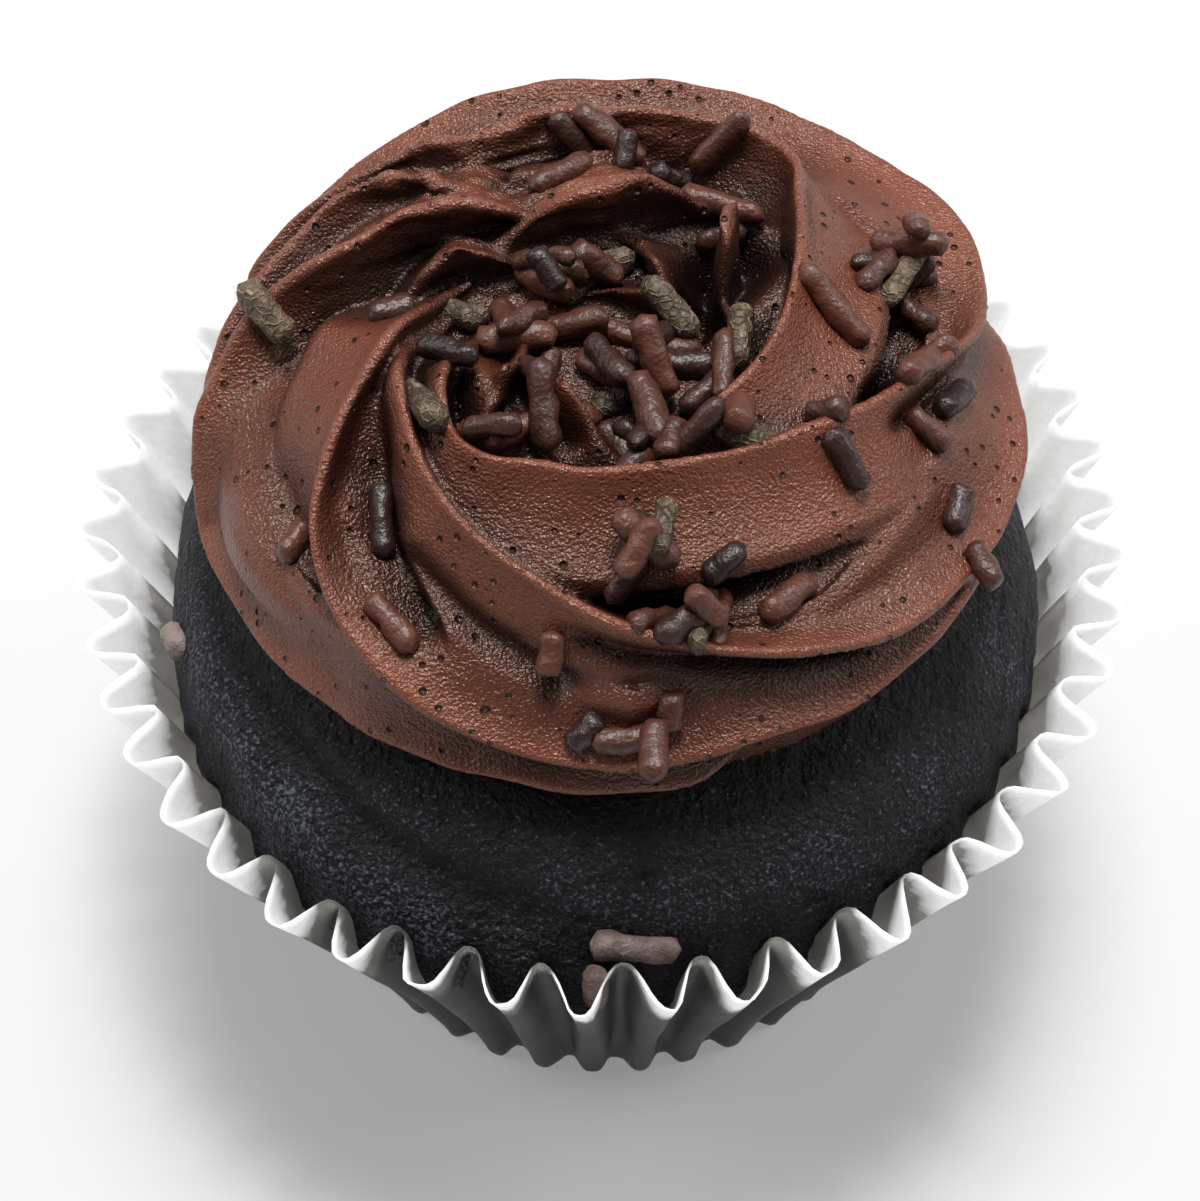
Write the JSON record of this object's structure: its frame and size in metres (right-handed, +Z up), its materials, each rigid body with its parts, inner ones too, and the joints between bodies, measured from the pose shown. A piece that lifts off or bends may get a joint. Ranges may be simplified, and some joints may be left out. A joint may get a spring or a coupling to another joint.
{
  "type": "cupcake",
  "caption": "Dark chocolate cupcake in a white fluted paper case, with a piped swirl of chocolate frosting and scattered chocolate sprinkles.",
  "frame": {"origin": "middle of the paper case's flat base, on the surface that the cupcake stands on", "axes": "+Z up, from the base towards the swirl; -Y towards the front that the picture shows, +X to its right"},
  "size_m": [0.0866, 0.0851, 0.0717],
  "materials": {
    "paper": "thin white greaseproof paper, matt, darkened by grease where the cake touches it",
    "crumb": "dark chocolate cake crust, matt and fine grained",
    "frosting": "satin chocolate buttercream with fine pits and chocolate sprinkles"
  },
  "bodies": {
    "root": {"paper_case": "paper", "cake": "crumb", "frosting": "frosting"}
  },
  "joints": []
}
